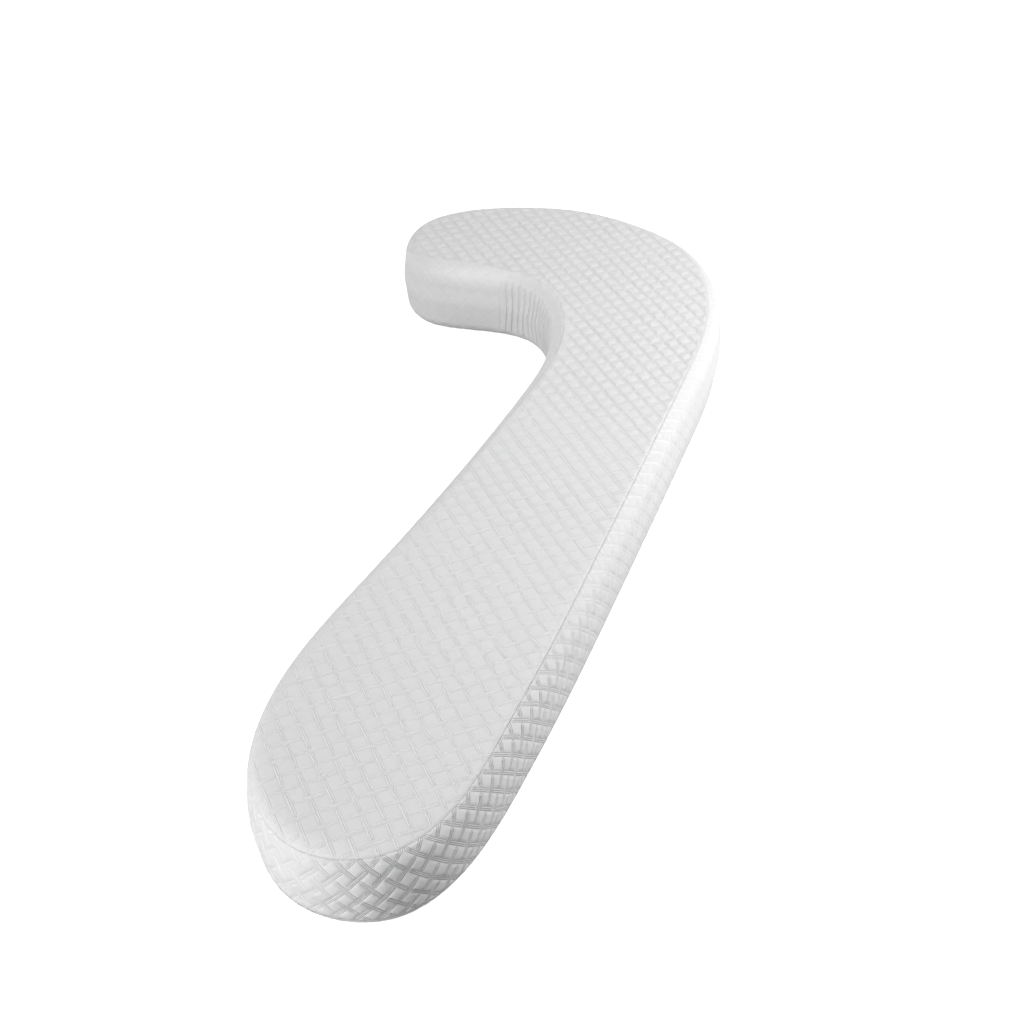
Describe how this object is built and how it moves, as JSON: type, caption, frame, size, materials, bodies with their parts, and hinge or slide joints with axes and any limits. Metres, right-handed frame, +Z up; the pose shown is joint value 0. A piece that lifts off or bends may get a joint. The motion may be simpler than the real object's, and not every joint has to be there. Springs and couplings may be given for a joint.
{
  "type": "body pillow",
  "caption": "Long flat foam pillow with a straight body and a hooked end that curls round to one side, in a puffed quilted cover with a sewn side strip.",
  "frame": {"origin": "under the middle of the outline's bounding box, on the surface the pillow lies on", "axes": "+Y along the straight body towards the hooked end, +X away from the hook's tip, +Z up through the thickness"},
  "size_m": [0.626, 1.4992, 0.124],
  "materials": {
    "quilted_cover": "matte puffed knit with ladder-stitched lattice quilting",
    "boxing_strip": "matte puffed knit with diagonal lattice quilting",
    "base_cover": "matte knit, flattened where it rests"
  },
  "bodies": {
    "root": {"top_panel": "quilted_cover", "side_panel": "boxing_strip", "bottom_panel": "base_cover"}
  },
  "joints": []
}
